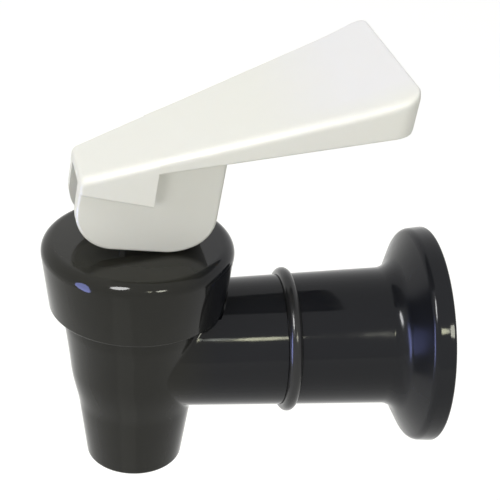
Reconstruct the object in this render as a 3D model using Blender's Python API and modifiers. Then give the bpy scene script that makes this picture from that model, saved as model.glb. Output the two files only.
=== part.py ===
"""Dispenser spigot with a tip lever, about 70 mm long and 77 mm high.

One black moulding is the housing: an upright barrel that tapers into the spout, and a
horizontal shank that flares into a wall flange. Under the screwed bonnet a silicone cup
is pressed on the valve seat by a spring. The white lever rocks on the bonnet's roof and
pulls the stem, and with it the cup, off the seat.

The origin is the centre of the flange's back face, on the shank's axis. +X points out of
the flange, towards the appliance, and +Z is up.
"""

import math

import bmesh
import bpy
from mathutils import Matrix

MM = 0.001

# Fits between neighbouring pieces
CLEARANCE = 0.3 * MM
PIN_PLAY = 0.15 * MM
OVERCUT = 1.0 * MM
AXIS_MERGE = 0.01 * MM

# Shank and flange, measured along the shank from the flange's back face
SHANK_REACH = 53.1 * MM
SHANK_RADIUS = 12.4 * MM
SHANK_TAPER = 0.035
FLANGE_RADIUS = 19.55 * MM
FLANGE_RIM = 3.5 * MM
FLANGE_RIM_FILLET = 1.6 * MM
FLANGE_BACK_EDGE = 0.5 * MM
FLARE_ANGLE = math.radians(60)
FLARE_FILLET = 3.0 * MM

# Hollow behind the flange, round the threaded socket
SOCKET_RADIUS = 5.5 * MM
SOCKET_WALL = 2.1 * MM
SOCKET_DEPTH = 17.0 * MM
SOCKET_SETBACK = 1.5 * MM
SOCKET_CHAMFER = 0.7 * MM
PASSAGE_RADIUS = 3.2 * MM
SHANK_WALL = 2.5 * MM
CORE_DEPTH = 22.0 * MM
CORE_NECK_DEPTH = 5.5 * MM
CORE_DRAFT = 0.3 * MM
FLANGE_LAND = 4.7 * MM
FLANGE_LAND_DRAFT = 1.2 * MM
FLANGE_WEB = 3.0 * MM
RIB_COUNT = 6
RIB_THICKNESS = 1.4 * MM
RIB_SETBACK = 3.5 * MM

# Barrel and spout, measured up from the shank's axis
SPOUT_DROP = 22.4 * MM
SPOUT_TIP_RADIUS = 8.5 * MM
SPOUT_TAPER = 0.134
SPOUT_TIP_EDGE = 0.7 * MM
SPOUT_WALL = 1.8 * MM
OUTLET_DRAFT = 0.08
SHOULDER_TOP = -3.0 * MM
SHOULDER_FOOT = -11.0 * MM
BARREL_RADIUS = 12.5 * MM
BARREL_WALL = 2.8 * MM
BARREL_TAPER = 0.08
NECK_CHAMFER = 0.5 * MM

# Valve chamber and seat
CHAMBER_FLOOR = -6.4 * MM
CHAMBER_DRAFT = 0.05
SEAT_RISE = 3.0 * MM
SEAT_BORE = 4.3 * MM
SEAT_WALL = 1.5 * MM
SEAT_FLOOR = 2.6 * MM

# Ring on the shank
RING_PLACE = 26.5 * MM
RING_SECTION = 1.2 * MM

# Bonnet
BONNET_FOOT = 9.2 * MM
BONNET_HEIGHT = 12.3 * MM
BONNET_WALL = 4.3 * MM
BONNET_TAPER = 0.128
BONNET_RIM_FILLET = 1.2 * MM
BONNET_FOOT_FILLET = 1.3 * MM
BONNET_ROOF = 2.9 * MM
BONNET_CLAMP_DEPTH = 3.8 * MM

# Seat cup
CUP_FLANGE = 1.5 * MM
CUP_FLANGE_SETBACK = 0.8 * MM
CUP_WALL = 1.2 * MM
CUP_MOUTH_PLAY = 0.6 * MM
CUP_OVERHANG = 0.4 * MM
CUP_SOLE = 2.4 * MM
CUP_SOLE_CHAMFER = 0.7 * MM

# Stem
STEM_RADIUS = 2.8 * MM
STEM_HEAD_STEP = 0.8 * MM
STEM_HEAD_HEIGHT = 1.7 * MM
STEM_WAIST_STEP = 0.7 * MM
STEM_WAIST_HEIGHT = 1.6 * MM
STEM_GUIDE_STEP = 0.3 * MM
STEM_GUIDE_DEPTH = 2.0 * MM
STEM_TOP_FILLET = 2.8 * MM
STEM_BLADE = 3.6 * MM

# Return spring and the washer under it
WASHER_THICKNESS = 0.8 * MM
SPRING_WIRE = 0.45 * MM
SPRING_ROOM = 0.55 * MM
SPRING_TURNS = 6.5
SPRING_POINTS_PER_TURN = 14
SPRING_CLOSED_PITCH = 1.15 * MM

# Inlet washer
INLET_WASHER_THICKNESS = 1.6 * MM
INLET_WASHER_SETBACK = 0.1 * MM

# Lever, in its own frame: x towards the paddle's end, z up, zero on the pin
LEVER_YAW = math.radians(3.1)
LEVER_LEAN = math.radians(7.3)
LEVER_TRAVEL = math.radians(22.0)
CAM_HEIGHT = 8.95 * MM
CAM_LEAD = 4.5 * MM
CAM_TURN = math.radians(30)
HEEL_RADIUS = 6.7 * MM
CHEEK_HALF_WIDTH = 6.3 * MM
CHEEK_WALL = 2.4 * MM
CHEEK_BACK = 12.6 * MM
LEVER_FRONT = -11.05 * MM
SKIRT_STANDOFF = 0.4 * MM
PADDLE_FLARE = 0.231
PADDLE_END = 38.67 * MM
PADDLE_FRONT_TOP = 3.8 * MM
PADDLE_RISE = math.radians(25.3)
PADDLE_LIP_LENGTH = 9.0 * MM
PADDLE_LIP_RISE = 0.8 * MM
PADDLE_END_DEPTH = 7.4 * MM
SKIRT_END = 0.8 * MM
SKIRT_FOOT = 0.8 * MM
SKIRT_STEP = 6.75 * MM
PADDLE_EDGE = 0.8 * MM
PADDLE_CORNER = 2.7 * MM
CHEEK_EDGE = 0.6 * MM
PADDLE_WALL = 1.8 * MM
PADDLE_RIB = 1.4 * MM
PADDLE_CHANNELS = 4
PIN_RADIUS = 1.2 * MM
PIN_BLIND = 1.0 * MM

# Facets
OUTER_SEGMENTS = 56
INNER_SEGMENTS = 40
SMALL_SEGMENTS = 28
ARC_STEPS = 4
CAM_STEPS = 8
SHOULDER_STEPS = 8
LIP_STEPS = 3
RING_SIDES = 8
WIRE_RESOLUTION = 1
SHARP_ANGLE = math.radians(35)
FILLET_SHARE = 0.95

# Worked out from the sizes above
BONNET_RADIUS = BARREL_RADIUS + BONNET_WALL
BONNET_TOP = BONNET_FOOT + BONNET_HEIGHT
CLAMP_FACE = BONNET_TOP - BONNET_CLAMP_DEPTH
NECK_TOP = CLAMP_FACE - CUP_FLANGE - 2 * CLEARANCE
SPRING_POCKET = BONNET_TOP - BONNET_ROOF
CHAMBER_RADIUS = BARREL_RADIUS - BARREL_WALL
OUTLET_STEP = CHAMBER_FLOOR - SEAT_FLOOR
CUP_FOOT_RADIUS = SEAT_BORE + SEAT_WALL + CUP_OVERHANG
STEM_HEAD_RADIUS = STEM_RADIUS + STEM_HEAD_STEP
STEM_WAIST_RADIUS = STEM_RADIUS - STEM_WAIST_STEP
STEM_GUIDE_RADIUS = STEM_RADIUS + STEM_GUIDE_STEP
SPRING_RADIUS = STEM_GUIDE_RADIUS + SPRING_ROOM + SPRING_WIRE
FRONT_HALF_WIDTH = CHEEK_HALF_WIDTH + SKIRT_STANDOFF
SLOT_WIDTH = 2 * (CHEEK_HALF_WIDTH - CHEEK_WALL)
SEAT_TOP = CHAMBER_FLOOR + SEAT_RISE
CUP_FOOT = SEAT_TOP + CLEARANCE
STEM_FOOT = CUP_FOOT + CUP_SOLE + CLEARANCE
STEM_SHOULDER = STEM_FOOT + STEM_HEAD_HEIGHT
CUP_LEDGE = STEM_SHOULDER + CLEARANCE + STEM_WAIST_HEIGHT
WASHER_TOP = CUP_LEDGE + CLEARANCE + WASHER_THICKNESS
PIVOT_HEIGHT = BONNET_TOP + CLEARANCE + CAM_HEIGHT + CAM_LEAD * LEVER_LEAN
SOCKET_FLOOR = -SOCKET_SETBACK - SOCKET_DEPTH
BLADE_FOOT = BONNET_TOP - CAM_LEAD * LEVER_TRAVEL - CLEARANCE
FULL_LEAN = LEVER_LEAN + LEVER_TRAVEL
SLOT_BACK = STEM_GUIDE_RADIUS / math.cos(FULL_LEAN) + CAM_HEIGHT * math.tan(FULL_LEAN) + CLEARANCE
FLARE_FOOT = FLANGE_RIM + (FLANGE_RADIUS - SHANK_RADIUS) / math.tan(FLARE_ANGLE)


def empty_scene():
    for obj in list(bpy.data.objects):
        bpy.data.objects.remove(obj, do_unlink=True)


def new_collection(name):
    collection = bpy.data.collections.new(name)
    bpy.context.scene.collection.children.link(collection)
    return collection


def plastic(name, colour, roughness, metallic=0.0):
    material = bpy.data.materials.new(name)
    material.use_nodes = True
    shader = material.node_tree.nodes["Principled BSDF"]
    shader.inputs["Base Color"].default_value = (*colour, 1.0)
    shader.inputs["Roughness"].default_value = roughness
    shader.inputs["Metallic"].default_value = metallic
    return material


def add_object(name, mesh, collection, material=None, parent=None):
    obj = bpy.data.objects.new(name, mesh)
    collection.objects.link(obj)
    obj.parent = parent
    if material:
        mesh.materials.append(material)
    return obj


def add_cutter(name, mesh, parent=None):
    obj = add_object(name, mesh, cutters, parent=parent)
    obj.hide_render = True
    obj.display_type = "WIRE"
    return obj


def cut(target, tool, operation="DIFFERENCE"):
    step = target.modifiers.new(tool.name, "BOOLEAN")
    step.operation = operation
    step.solver = "EXACT"
    step.object = tool


def rounded(corners):
    """Points of an outline whose corners are (x, y) or (x, y, fillet radius)."""
    points = []
    count = len(corners)
    for index, corner in enumerate(corners):
        radius = corner[2] if len(corner) > 2 else 0.0
        if not radius:
            points.append((corner[0], corner[1]))
            continue
        before, after = corners[index - 1], corners[(index + 1) % count]
        points += fillet(before, corner, after, radius)
    return points


def fillet(before, corner, after, radius):
    """Arc of the given radius that rounds one corner between its two neighbours."""
    ax, ay = before[0] - corner[0], before[1] - corner[1]
    bx, by = after[0] - corner[0], after[1] - corner[1]
    a_length, b_length = math.hypot(ax, ay), math.hypot(bx, by)
    ax, ay, bx, by = ax / a_length, ay / a_length, bx / b_length, by / b_length
    half = math.acos(max(-1.0, min(1.0, ax * bx + ay * by))) / 2
    reach = min(radius / math.tan(half), FILLET_SHARE * a_length, FILLET_SHARE * b_length)
    radius = reach * math.tan(half)
    to_centre = math.hypot(radius, reach)
    mid_x, mid_y = ax + bx, ay + by
    mid = math.hypot(mid_x, mid_y)
    centre_x = corner[0] + mid_x / mid * to_centre
    centre_y = corner[1] + mid_y / mid * to_centre
    start = math.atan2(corner[1] + ay * reach - centre_y, corner[0] + ax * reach - centre_x)
    end = math.atan2(corner[1] + by * reach - centre_y, corner[0] + bx * reach - centre_x)
    turn = (end - start + math.pi) % (2 * math.pi) - math.pi
    steps = range(ARC_STEPS + 1)
    return [
        (
            centre_x + radius * math.cos(start + turn * step / ARC_STEPS),
            centre_y + radius * math.sin(start + turn * step / ARC_STEPS),
        )
        for step in steps
    ]


def profile_mesh(name, points, closed):
    """Mesh of edges in the XZ plane, radius along X, for a Screw modifier."""
    mesh = bpy.data.meshes.new(name)
    edges = [(i, i + 1) for i in range(len(points) - 1)]
    if closed:
        edges.append((len(points) - 1, 0))
    mesh.from_pydata([(x, 0.0, z) for x, z in points], edges, [])
    return mesh


def turn_profile(obj, segments):
    """Revolves the object's profile about its own Z axis."""
    screw = obj.modifiers.new("Turn", "SCREW")
    screw.axis = "Z"
    screw.angle = 2 * math.pi
    screw.steps = segments
    screw.render_steps = segments
    screw.use_merge_vertices = True
    screw.merge_threshold = AXIS_MERGE
    screw.use_smooth_shade = False


def turned(name, corners, material, parent, segments=OUTER_SEGMENTS, closed=True):
    """Turned piece. The corners run down the outer side, from top to bottom."""
    mesh = profile_mesh(name, rounded(corners), closed)
    obj = add_object(name, mesh, spigot, material, parent)
    turn_profile(obj, segments)
    return obj


def turned_cutter(name, corners, parent, segments=INNER_SEGMENTS, closed=False):
    mesh = profile_mesh(name, rounded(corners), closed)
    obj = add_cutter(name, mesh, parent)
    turn_profile(obj, segments)
    return obj


def box_mesh(name, low, high):
    """Box between two corners, from a unit cube."""
    mesh = bpy.data.meshes.new(name)
    box = bmesh.new()
    bmesh.ops.create_cube(box, size=1.0)
    size = [high[i] - low[i] for i in range(3)]
    centre = [(high[i] + low[i]) / 2 for i in range(3)]
    bmesh.ops.scale(box, vec=size, verts=box.verts)
    bmesh.ops.translate(box, vec=centre, verts=box.verts)
    box.to_mesh(mesh)
    box.free()
    return mesh


def cylinder_mesh(name, radius, start, end, axis, segments=SMALL_SEGMENTS):
    """Closed cylinder along axis "X" or "Y" from start to end."""
    mesh = bpy.data.meshes.new(name)
    rod = bmesh.new()
    bmesh.ops.create_cone(
        rod, cap_ends=True, segments=segments, radius1=radius, radius2=radius, depth=end - start
    )
    bmesh.ops.translate(rod, vec=(0, 0, (start + end) / 2), verts=rod.verts)
    about = "Y" if axis == "X" else "X"
    turn = math.radians(90 if axis == "X" else -90)
    bmesh.ops.rotate(rod, matrix=Matrix.Rotation(turn, 3, about), verts=rod.verts)
    rod.to_mesh(mesh)
    rod.free()
    return mesh


def drawn_mesh(name, outline, near, far):
    """Side outline in XZ drawn out between the two half widths near(x) and far(x)."""
    mesh = bpy.data.meshes.new(name)
    slab = bmesh.new()
    face = slab.faces.new([slab.verts.new((x, 0.0, z)) for x, z in outline])
    drawn = bmesh.ops.extrude_face_region(slab, geom=[face])
    far_side = {item for item in drawn["geom"] if isinstance(item, bmesh.types.BMVert)}
    for vert in slab.verts:
        vert.co.y = far(vert.co.x) if vert in far_side else near(vert.co.x)
    bmesh.ops.recalc_face_normals(slab, faces=slab.faces)
    slab.to_mesh(mesh)
    slab.free()
    return mesh


def bevel(obj, width):
    edge = obj.modifiers.new("Edges", "BEVEL")
    edge.width = width
    edge.segments = 2
    edge.limit_method = "ANGLE"
    edge.angle_limit = SHARP_ANGLE


def round_end_corners(obj, end, width):
    """Rounds the two upright edges at x = end, as seen from above."""
    weights = obj.data.attributes.new("bevel_weight_edge", "FLOAT", "EDGE")
    for edge in obj.data.edges:
        first, last = (obj.data.vertices[i].co for i in edge.vertices)
        at_end = min(first.x, last.x) > end - AXIS_MERGE
        weights.data[edge.index].value = float(at_end and abs(first.y - last.y) < AXIS_MERGE)
    corner = obj.modifiers.new("Corners", "BEVEL")
    corner.width = width
    corner.segments = ARC_STEPS
    corner.limit_method = "WEIGHT"


def smooth(obj):
    obj.data.shade_smooth()
    obj.data.set_sharp_from_angle(angle=SHARP_ANGLE)


# Housing

def shank_radius(place):
    """Outer radius of the tapered shank, at a distance from the flange's back."""
    return SHANK_RADIUS - SHANK_TAPER * (place - FLARE_FOOT)


def barrel_radius(height):
    """The barrel's and the spout's tapers, blended over the shoulder."""
    spout = SPOUT_TIP_RADIUS + SPOUT_TAPER * (height + SPOUT_DROP)
    barrel = BARREL_RADIUS - BARREL_TAPER * (BONNET_FOOT - height)
    share = (height - SHOULDER_FOOT) / (SHOULDER_TOP - SHOULDER_FOOT)
    share = min(1.0, max(0.0, share))
    share = share * share * (3 - 2 * share)
    return spout + (barrel - spout) * share


def barrel_profile():
    neck = [(0.0, NECK_TOP), (BARREL_RADIUS - NECK_CHAMFER, NECK_TOP)]
    neck += [(BARREL_RADIUS, NECK_TOP - NECK_CHAMFER), (BARREL_RADIUS, BONNET_FOOT)]
    drop = (SHOULDER_TOP - SHOULDER_FOOT) / SHOULDER_STEPS
    heights = [SHOULDER_TOP - drop * step for step in range(SHOULDER_STEPS + 1)]
    sides = [(barrel_radius(height), height) for height in heights]
    tip = [(SPOUT_TIP_RADIUS, -SPOUT_DROP, SPOUT_TIP_EDGE), (0.0, -SPOUT_DROP)]
    return neck + sides + tip


def shank_profile():
    """Radius and x of the shank's outside, from the flange's back to the valve's axis."""
    return [
        (0.0, 0.0),
        (FLANGE_RADIUS, 0.0, FLANGE_BACK_EDGE),
        (FLANGE_RADIUS, -FLANGE_RIM, FLANGE_RIM_FILLET),
        (SHANK_RADIUS, -FLARE_FOOT, FLARE_FILLET),
        (shank_radius(SHANK_REACH), -SHANK_REACH),
        (0.0, -SHANK_REACH),
    ]


def waterway_profile():
    """Chamber, valve seat and outlet as one turned cavity."""
    floor_radius = CHAMBER_RADIUS - CHAMBER_DRAFT * (NECK_TOP - CHAMBER_FLOOR)
    outlet_tip = SPOUT_TIP_RADIUS - SPOUT_WALL
    outlet_top = outlet_tip - OUTLET_DRAFT * (SPOUT_DROP + OUTLET_STEP)
    return [
        (0.0, NECK_TOP + OVERCUT),
        (CHAMBER_RADIUS, NECK_TOP + OVERCUT),
        (CHAMBER_RADIUS, NECK_TOP),
        (floor_radius, CHAMBER_FLOOR),
        (SEAT_BORE + SEAT_WALL, CHAMBER_FLOOR),
        (SEAT_BORE + SEAT_WALL, SEAT_TOP),
        (SEAT_BORE, SEAT_TOP),
        (SEAT_BORE, OUTLET_STEP),
        (outlet_top, OUTLET_STEP - (outlet_top - SEAT_BORE)),
        (outlet_tip, -SPOUT_DROP),
        (outlet_tip, -SPOUT_DROP - OVERCUT),
        (0.0, -SPOUT_DROP - OVERCUT),
    ]


def socket_profile():
    """Threaded socket and the water passage behind it."""
    mouth = -SOCKET_SETBACK
    return [
        (0.0, mouth + OVERCUT),
        (SOCKET_RADIUS + SOCKET_CHAMFER, mouth + OVERCUT),
        (SOCKET_RADIUS + SOCKET_CHAMFER, mouth),
        (SOCKET_RADIUS, mouth - SOCKET_CHAMFER),
        (SOCKET_RADIUS, SOCKET_FLOOR),
        (PASSAGE_RADIUS, SOCKET_FLOOR),
        (PASSAGE_RADIUS, -SHANK_REACH),
        (0.0, -SHANK_REACH),
    ]


def core_profile():
    """Hollow between the shank's wall and the socket's wall, open at the flange's back."""
    tube = SOCKET_RADIUS + SOCKET_WALL
    shell = shank_radius(CORE_DEPTH) - SHANK_WALL
    land = FLANGE_RADIUS - FLANGE_LAND
    return [
        (0.0, OVERCUT),
        (land, OVERCUT),
        (land, 0.0),
        (land - FLANGE_LAND_DRAFT, -FLANGE_WEB),
        (shell + CORE_DRAFT, -CORE_NECK_DEPTH),
        (shell, -CORE_DEPTH),
        (tube, -CORE_DEPTH),
        (tube, -SOCKET_SETBACK),
        (0.0, -SOCKET_SETBACK),
    ]


def relief_profile():
    """Room for the bonnet's foot, which sits lower than the top of the shank."""
    foot = BONNET_FOOT - CLEARANCE
    foot_radius = bonnet_radius(foot) + CLEARANCE
    top_radius = bonnet_radius(BONNET_TOP) + CLEARANCE
    return [(0.0, BONNET_TOP), (top_radius, BONNET_TOP), (foot_radius, foot), (0.0, foot)]


def housing_body(material):
    body = turned("body", barrel_profile(), material, valve_axis, closed=False)

    shank = turned_cutter("shank_solid", shank_profile(), shank_axis, OUTER_SEGMENTS)
    cut(shank, turned_cutter("bonnet_relief", relief_profile(), valve_axis, OUTER_SEGMENTS))
    cut(body, shank, "UNION")

    core = turned_cutter("shank_core", core_profile(), shank_axis)
    for index in range(RIB_COUNT // 2):
        low = (-FLANGE_RADIUS, -RIB_THICKNESS / 2, -CORE_DEPTH - OVERCUT)
        high = (FLANGE_RADIUS, RIB_THICKNESS / 2, -RIB_SETBACK)
        slab = add_cutter(f"rib_{index + 1}", box_mesh("rib", low, high), shank_axis)
        slab.rotation_euler = (0, 0, 2 * math.pi * index / RIB_COUNT)
        cut(core, slab)
    cut(body, core)

    cut(body, turned_cutter("waterway", waterway_profile(), valve_axis))
    cut(body, turned_cutter("socket", socket_profile(), shank_axis))
    cut(body, ring_groove())
    return body


def ring_mesh(name, section):
    """Ring of round section that lies on the shank, half sunk in it."""
    bpy.ops.mesh.primitive_torus_add(
        major_segments=INNER_SEGMENTS,
        minor_segments=RING_SIDES,
        major_radius=shank_radius(RING_PLACE),
        minor_radius=section,
    )
    made = bpy.context.object
    mesh = made.data
    mesh.name = name
    bpy.data.objects.remove(made, do_unlink=True)
    return mesh


def ring_groove():
    groove = add_cutter("ring_groove", ring_mesh("ring_groove", RING_SECTION + CLEARANCE), shank_axis)
    groove.location.z = -RING_PLACE
    return groove


def shank_ring(material):
    mesh = ring_mesh("shank_ring", RING_SECTION)
    ring = add_object("shank_ring", mesh, spigot, material, shank_axis)
    ring.location.z = -RING_PLACE
    return ring


def inlet_washer(material):
    low = SOCKET_FLOOR + CLEARANCE
    high = low + INLET_WASHER_THICKNESS
    outer = SOCKET_RADIUS - CLEARANCE
    bore = PASSAGE_RADIUS + INLET_WASHER_SETBACK
    corners = [(bore, high), (outer, high), (outer, low), (bore, low)]
    return turned("inlet_washer", corners, material, shank_axis, SMALL_SEGMENTS)


def bonnet_radius(height):
    return BONNET_RADIUS - BONNET_TAPER * (BONNET_TOP - height)


def bonnet(material):
    bore = BARREL_RADIUS + CLEARANCE
    hole = STEM_GUIDE_RADIUS + PIN_PLAY
    corners = [
        (hole, BONNET_TOP),
        (BONNET_RADIUS, BONNET_TOP, BONNET_RIM_FILLET),
        (bonnet_radius(BONNET_FOOT), BONNET_FOOT, BONNET_FOOT_FILLET),
        (bore, BONNET_FOOT),
        (bore, CLAMP_FACE),
        (CHAMBER_RADIUS - CUP_MOUTH_PLAY, CLAMP_FACE),
        (CHAMBER_RADIUS - CUP_MOUTH_PLAY, SPRING_POCKET),
        (hole, SPRING_POCKET),
    ]
    return turned("bonnet", corners, material, valve_axis)


def seat_cup(material):
    """Silicone cup: clamped flange, tapered wall, thick sole that closes the seat."""
    flange = BARREL_RADIUS - CUP_FLANGE_SETBACK
    mouth = CHAMBER_RADIUS - CUP_MOUTH_PLAY
    flange_low = NECK_TOP + CLEARANCE
    flange_high = flange_low + CUP_FLANGE
    waist = STEM_WAIST_RADIUS + CLEARANCE
    pocket = STEM_HEAD_RADIUS + CLEARANCE
    corners = [
        (mouth - CUP_WALL, flange_high),
        (flange, flange_high),
        (flange, flange_low),
        (mouth, flange_low),
        (CUP_FOOT_RADIUS, CUP_LEDGE),
        (CUP_FOOT_RADIUS, CUP_FOOT + CUP_SOLE_CHAMFER),
        (CUP_FOOT_RADIUS - CUP_SOLE_CHAMFER, CUP_FOOT),
        (0.0, CUP_FOOT),
        (0.0, CUP_FOOT + CUP_SOLE),
        (pocket, CUP_FOOT + CUP_SOLE),
        (pocket, STEM_SHOULDER + CLEARANCE),
        (waist, STEM_SHOULDER + CLEARANCE),
        (waist, CUP_LEDGE),
        (CUP_FOOT_RADIUS - CUP_WALL, CUP_LEDGE),
    ]
    return turned("seat_cup", corners, material, valve_axis, INNER_SEGMENTS)


def slip_washer(material):
    low = CUP_LEDGE + CLEARANCE
    outer = CUP_FOOT_RADIUS - CUP_WALL - CLEARANCE
    bore = STEM_RADIUS + CLEARANCE
    corners = [(bore, WASHER_TOP), (outer, WASHER_TOP), (outer, low), (bore, low)]
    return turned("slip_washer", corners, material, valve_axis, SMALL_SEGMENTS)


def spring_point(turns):
    """Point on the spring's wire after some turns. The end turns lie closer together."""
    low = WASHER_TOP + CLEARANCE + SPRING_WIRE
    high = SPRING_POCKET - CLEARANCE - SPRING_WIRE
    open_pitch = (high - low - 2 * SPRING_CLOSED_PITCH) / (SPRING_TURNS - 2)
    height = low + SPRING_CLOSED_PITCH * min(turns, 1.0)
    height += open_pitch * max(0.0, min(turns - 1.0, SPRING_TURNS - 2))
    height += SPRING_CLOSED_PITCH * max(0.0, turns - SPRING_TURNS + 1.0)
    angle = 2 * math.pi * turns
    return (SPRING_RADIUS * math.cos(angle), SPRING_RADIUS * math.sin(angle), height, 1.0)


def return_spring(material):
    curve = bpy.data.curves.new("return_spring", "CURVE")
    curve.dimensions = "3D"
    curve.bevel_depth = SPRING_WIRE
    curve.bevel_resolution = WIRE_RESOLUTION
    curve.use_fill_caps = True
    wire = curve.splines.new("POLY")
    count = int(SPRING_TURNS * SPRING_POINTS_PER_TURN) + 1
    wire.points.add(count - 1)
    for index, point in enumerate(wire.points):
        point.co = spring_point(index * SPRING_TURNS / (count - 1))
    return add_object("return_spring", curve, spigot, material, valve_axis)


# Stem

def stem(material):
    """Headed stem, turned, with a flat blade at its top that takes the lever's pin."""
    top = PIVOT_HEIGHT + STEM_GUIDE_RADIUS
    guide_foot = SPRING_POCKET - STEM_GUIDE_DEPTH
    corners = [
        (0.0, top),
        (STEM_GUIDE_RADIUS, top, STEM_TOP_FILLET),
        (STEM_GUIDE_RADIUS, guide_foot),
        (STEM_RADIUS, guide_foot - (STEM_GUIDE_RADIUS - STEM_RADIUS)),
        (STEM_RADIUS, CUP_LEDGE + CLEARANCE),
        (STEM_WAIST_RADIUS, CUP_LEDGE + CLEARANCE),
        (STEM_WAIST_RADIUS, STEM_SHOULDER),
        (STEM_HEAD_RADIUS, STEM_SHOULDER),
        (STEM_HEAD_RADIUS, STEM_FOOT),
        (0.0, STEM_FOOT),
    ]
    rod = turned("stem", corners, material, valve_axis, SMALL_SEGMENTS, closed=False)
    rod.rotation_euler.z = LEVER_YAW
    for side in (-1, 1):
        inner, outer = side * STEM_BLADE / 2, side * 2 * STEM_GUIDE_RADIUS
        low = (-2 * STEM_GUIDE_RADIUS, min(inner, outer), BLADE_FOOT)
        high = (2 * STEM_GUIDE_RADIUS, max(inner, outer), top + OVERCUT)
        flat = add_cutter(f"blade_flat_{side:+d}", box_mesh("blade_flat", low, high), valve_axis)
        flat.rotation_euler.z = LEVER_YAW
        cut(rod, flat)
    hole = cylinder_mesh(
        "stem_hole", PIN_RADIUS + PIN_PLAY, -STEM_BLADE, STEM_BLADE, "Y", INNER_SEGMENTS
    )
    cut(rod, add_cutter("stem_hole", hole, lever_pivot))
    return rod


# Lever

def half_width(x):
    return FRONT_HALF_WIDTH + PADDLE_FLARE * (x - LEVER_FRONT)


def paddle_top(x):
    """Height of the paddle's upper face, with the slight lip at its end."""
    lip_start = PADDLE_END - PADDLE_LIP_LENGTH
    lip = max(0.0, (x - lip_start) / PADDLE_LIP_LENGTH)
    return PADDLE_FRONT_TOP + math.tan(PADDLE_RISE) * (x - LEVER_FRONT) + PADDLE_LIP_RISE * lip**2


def paddle_outline():
    """Side outline of the paddle and of the skirt that hangs from its front."""
    drop = PADDLE_LIP_LENGTH / LIP_STEPS
    lip = [PADDLE_END - drop * step for step in range(LIP_STEPS + 1)]
    return [
        (LEVER_FRONT, paddle_top(LEVER_FRONT)),
        (LEVER_FRONT, SKIRT_FOOT),
        (SKIRT_END, SKIRT_FOOT),
        (SKIRT_END, SKIRT_STEP),
        (PADDLE_END, paddle_top(PADDLE_END) - PADDLE_END_DEPTH),
        *[(x, paddle_top(x)) for x in lip],
    ]


def cam_point(turn):
    """Point of the cam that touches the roof when the lever is turned this far.

    The contact stays CAM_LEAD in front of the pin, so the pin rises evenly with the turn.
    """
    height = CAM_HEIGHT + CAM_LEAD * turn
    x = CAM_LEAD * math.cos(turn) + height * math.sin(turn)
    z = CAM_LEAD * math.sin(turn) - height * math.cos(turn)
    return x, z


def cheek_outline():
    """Block that rocks on the bonnet: heel, flat, cam and upright back."""
    cam = [cam_point(CAM_TURN * step / CAM_STEPS) for step in range(CAM_STEPS + 1)]
    end_x, end_z = cam[-1]
    back_radius = (CHEEK_BACK - end_x) / (1 - math.sin(CAM_TURN))
    centre_z = end_z + back_radius * math.cos(CAM_TURN)
    upright = math.pi / 2
    angles = [CAM_TURN + (upright - CAM_TURN) * step / ARC_STEPS for step in range(1, ARC_STEPS + 1)]
    back = [
        (CHEEK_BACK - back_radius * (1 - math.sin(angle)), centre_z - back_radius * math.cos(angle))
        for angle in angles
    ]
    heel_x, heel_z = LEVER_FRONT + HEEL_RADIUS, HEEL_RADIUS - CAM_HEIGHT
    heel_angles = [upright * step / CAM_STEPS for step in range(CAM_STEPS + 1)]
    heel = [
        (heel_x - HEEL_RADIUS * math.cos(angle), heel_z - HEEL_RADIUS * math.sin(angle))
        for angle in heel_angles
    ]
    roof = [(CHEEK_BACK, paddle_top(CHEEK_BACK) - PADDLE_WALL)]
    front = [(LEVER_FRONT, PADDLE_FRONT_TOP - PADDLE_WALL)]
    return heel + cam + back + roof + front


def slot_outline():
    """Slot between the cheeks, open at the front and below, under an even roof."""
    foot = -2 * CAM_HEIGHT
    front = LEVER_FRONT - OVERCUT
    return [
        (front, foot),
        (SLOT_BACK, foot),
        (SLOT_BACK, paddle_top(SLOT_BACK) - PADDLE_WALL),
        (front, paddle_top(front) - PADDLE_WALL),
    ]


def channel_outline():
    """Side outline of the hollows under the paddle, up to its even wall."""
    start = CHEEK_BACK + PADDLE_WALL
    end = PADDLE_END - PADDLE_WALL
    return [
        (start, SKIRT_STEP),
        (end, SKIRT_STEP),
        (end, paddle_top(end) - PADDLE_WALL),
        (start, paddle_top(start) - PADDLE_WALL),
    ]


def channel(index):
    """One hollow under the paddle. The ribs between them fan out as the paddle does."""

    def side(share, rib):
        return lambda x: share * (half_width(x) - PADDLE_WALL) + rib

    low_share = 2 * index / PADDLE_CHANNELS - 1
    high_share = 2 * (index + 1) / PADDLE_CHANNELS - 1
    low_rib = PADDLE_RIB / 2 if index > 0 else 0.0
    high_rib = -PADDLE_RIB / 2 if index < PADDLE_CHANNELS - 1 else 0.0
    near, far = side(low_share, low_rib), side(high_share, high_rib)
    name = f"paddle_channel_{index + 1}"
    return add_cutter(name, drawn_mesh(name, channel_outline(), near, far), lever_pivot)


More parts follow.
